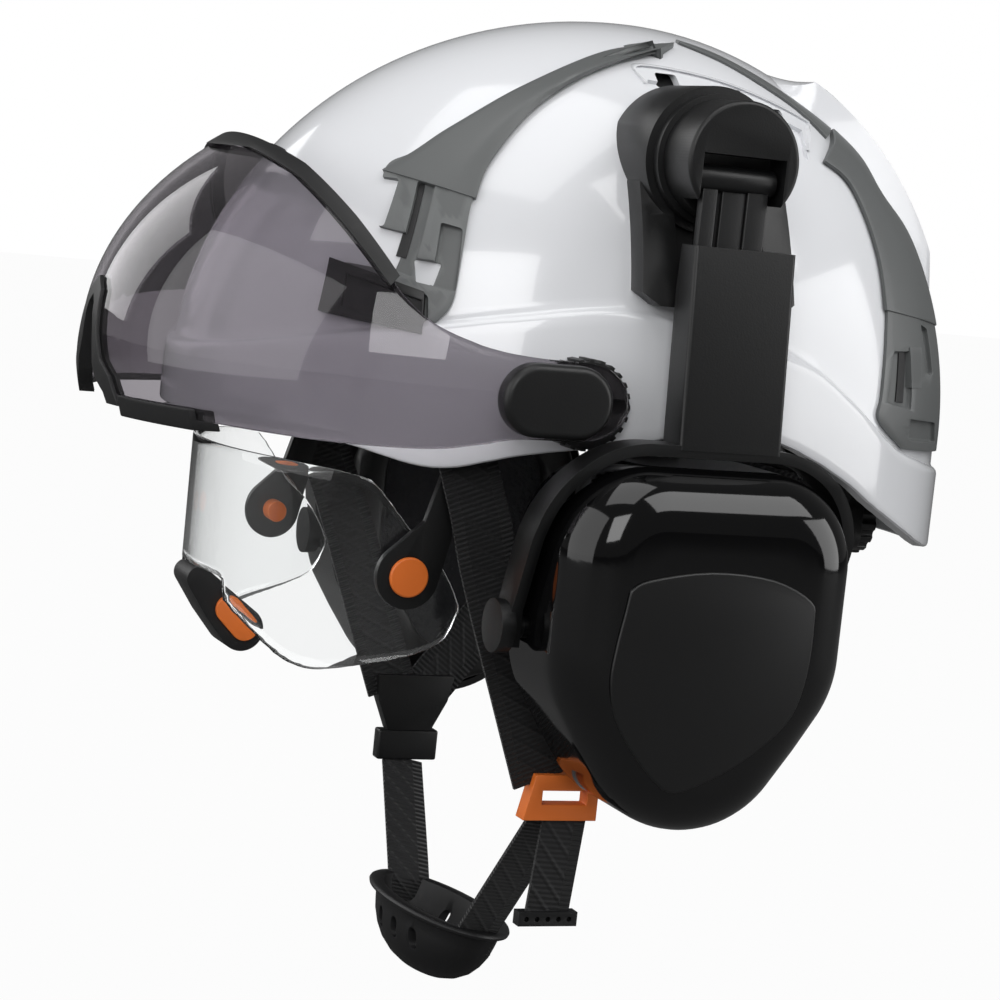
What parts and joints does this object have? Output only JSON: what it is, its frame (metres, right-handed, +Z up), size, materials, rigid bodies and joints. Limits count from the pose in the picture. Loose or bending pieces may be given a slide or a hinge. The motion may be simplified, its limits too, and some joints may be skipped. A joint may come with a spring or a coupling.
{
  "type": "arborist helmet",
  "caption": "Climbing helmet shell with smoked visor, retractable clear goggle, sprung-arm ear muffs, ratchet head band and a chin strap with cup.",
  "frame": {"origin": "middle of the head band's plane, where the helmet sits on the head", "axes": "+Z up, the wearer faces -Y, +X is the wearer's left"},
  "size_m": [0.2924, 0.3253, 0.3542],
  "materials": {
    "shell_white": "glossy injection-moulded shell",
    "trim_grey": "satin mid-grey",
    "black_satin": "satin, finely grained",
    "black_gloss": "high gloss",
    "smoked_lens": "smoke-tinted polycarbonate",
    "clear_lens": "clear polycarbonate",
    "seal_rubber": "matt edge seal",
    "webbing_black": "woven polyester webbing",
    "pad_fabric": "soft lined padding",
    "cushion_skin": "soft foam-filled skin",
    "foam_grey": "open-cell foam",
    "orange": "satin orange"
  },
  "bodies": {
    "helmet": {"outer_shell": "shell_white", "front_trim_left": "trim_grey", "front_trim_right": "trim_grey", "rear_trim_left": "trim_grey", "rear_trim_right": "trim_grey", "slot_covers": "black_satin", "vent_mesh": "black_satin", "muff_mount_left": "black_satin", "muff_mount_right": "black_satin", "visor_brackets": "black_satin", "suspension_webbing": "webbing_black", "hanger_clips": "black_satin", "headband_front": "black_satin", "brow_pad": "pad_fabric", "goggle_rails": "black_satin", "strap_anchors": "black_satin", "strap_front_left": "webbing_black", "strap_front_right": "webbing_black", "strap_rear_left": "webbing_black", "strap_rear_right": "webbing_black", "strap_adjuster": "orange", "chin_strap_left": "webbing_black", "chin_strap_right": "webbing_black", "strap_tail": "webbing_black", "strap_keeper": "seal_rubber", "buckle_female": "black_satin", "buckle_male": "black_satin", "chin_cup": "seal_rubber"},
    "visor": {"visor_lens": "smoked_lens", "visor_top_seal": "seal_rubber", "visor_nose_trim": "seal_rubber", "visor_tab": "seal_rubber", "visor_knobs": "black_satin"},
    "goggle_carriage": {"goggle_arms": "black_satin", "goggle_studs": "orange"},
    "goggle": {"goggle_lens": "clear_lens", "nose_piece": "seal_rubber", "nose_button": "orange"},
    "nape_band": {"headband_rear": "black_satin", "nape_pad": "pad_fabric", "ratchet_housing": "black_satin"},
    "ratchet": {"ratchet_knob": "black_satin"},
    "swivel_left": {"muff_turret_left": "black_satin"},
    "arm_left": {"muff_arm_left": "black_satin"},
    "sleeve_left": {"muff_yoke_left": "black_satin"},
    "cup_left": {"muff_cup_left": "black_gloss", "muff_panel_left": "black_satin", "muff_cushion_left": "cushion_skin", "muff_foam_left": "foam_grey"},
    "swivel_right": {"muff_turret_right": "black_satin"},
    "arm_right": {"muff_arm_right": "black_satin"},
    "sleeve_right": {"muff_yoke_right": "black_satin"},
    "cup_right": {"muff_cup_right": "black_gloss", "muff_panel_right": "black_satin", "muff_cushion_right": "cushion_skin", "muff_foam_right": "foam_grey"}
  },
  "joints": [
    {"name": "visor_pivot", "type": "hinge", "parent": "helmet", "child": "visor", "pos_m": [0, -0.044, -0.001], "axis": [1, 0, 0], "range_deg": [-20, 28]},
    {"name": "goggle_slide", "type": "slide", "parent": "helmet", "child": "goggle_carriage", "axis": [0, 0.2747, 0.9615], "range_m": [0, 0.045]},
    {"name": "goggle_tilt", "type": "hinge", "parent": "goggle_carriage", "child": "goggle", "pos_m": [0, -0.088, -0.065], "axis": [1, 0, 0], "range_deg": [-5, 5]},
    {"name": "headband_slide", "type": "slide", "parent": "helmet", "child": "nape_band", "axis": [0, -1, 0], "range_m": [0, 0.012]},
    {"name": "ratchet_turn", "type": "hinge", "parent": "nape_band", "child": "ratchet", "pos_m": [0, 0.118, -0.045], "axis": [0, 1, 0], "range_deg": [0, 175]},
    {"name": "muff_swivel_left", "type": "hinge", "parent": "helmet", "child": "swivel_left", "pos_m": [0, -0.003, 0.082], "axis": [1, 0, 0], "range_deg": [-1, 2.8]},
    {"name": "muff_flip_left", "type": "hinge", "parent": "swivel_left", "child": "arm_left", "pos_m": [0.117, 0, 0.076], "axis": [0, -1, 0], "range_deg": [0, 30]},
    {"name": "muff_height_left", "type": "slide", "parent": "arm_left", "child": "sleeve_left", "axis": [0, 0, -1], "range_m": [0, 0.022]},
    {"name": "muff_tilt_left", "type": "hinge", "parent": "sleeve_left", "child": "cup_left", "pos_m": [0.103, 0, -0.076], "axis": [0, 1, 0], "range_deg": [-3.5, 3.5]},
    {"name": "muff_swivel_right", "type": "hinge", "parent": "helmet", "child": "swivel_right", "pos_m": [0, -0.003, 0.082], "axis": [1, 0, 0], "range_deg": [-1, 2.8]},
    {"name": "muff_flip_right", "type": "hinge", "parent": "swivel_right", "child": "arm_right", "pos_m": [-0.117, 0, 0.076], "axis": [0, 1, 0], "range_deg": [0, 30]},
    {"name": "muff_height_right", "type": "slide", "parent": "arm_right", "child": "sleeve_right", "axis": [0, 0, -1], "range_m": [0, 0.022]},
    {"name": "muff_tilt_right", "type": "hinge", "parent": "sleeve_right", "child": "cup_right", "pos_m": [-0.103, 0, -0.076], "axis": [0, 1, 0], "range_deg": [-3.5, 3.5]}
  ],
  "couplings": [
    {"joint": "ratchet_turn", "follows": "headband_slide", "rad_per_m": 250}
  ]
}
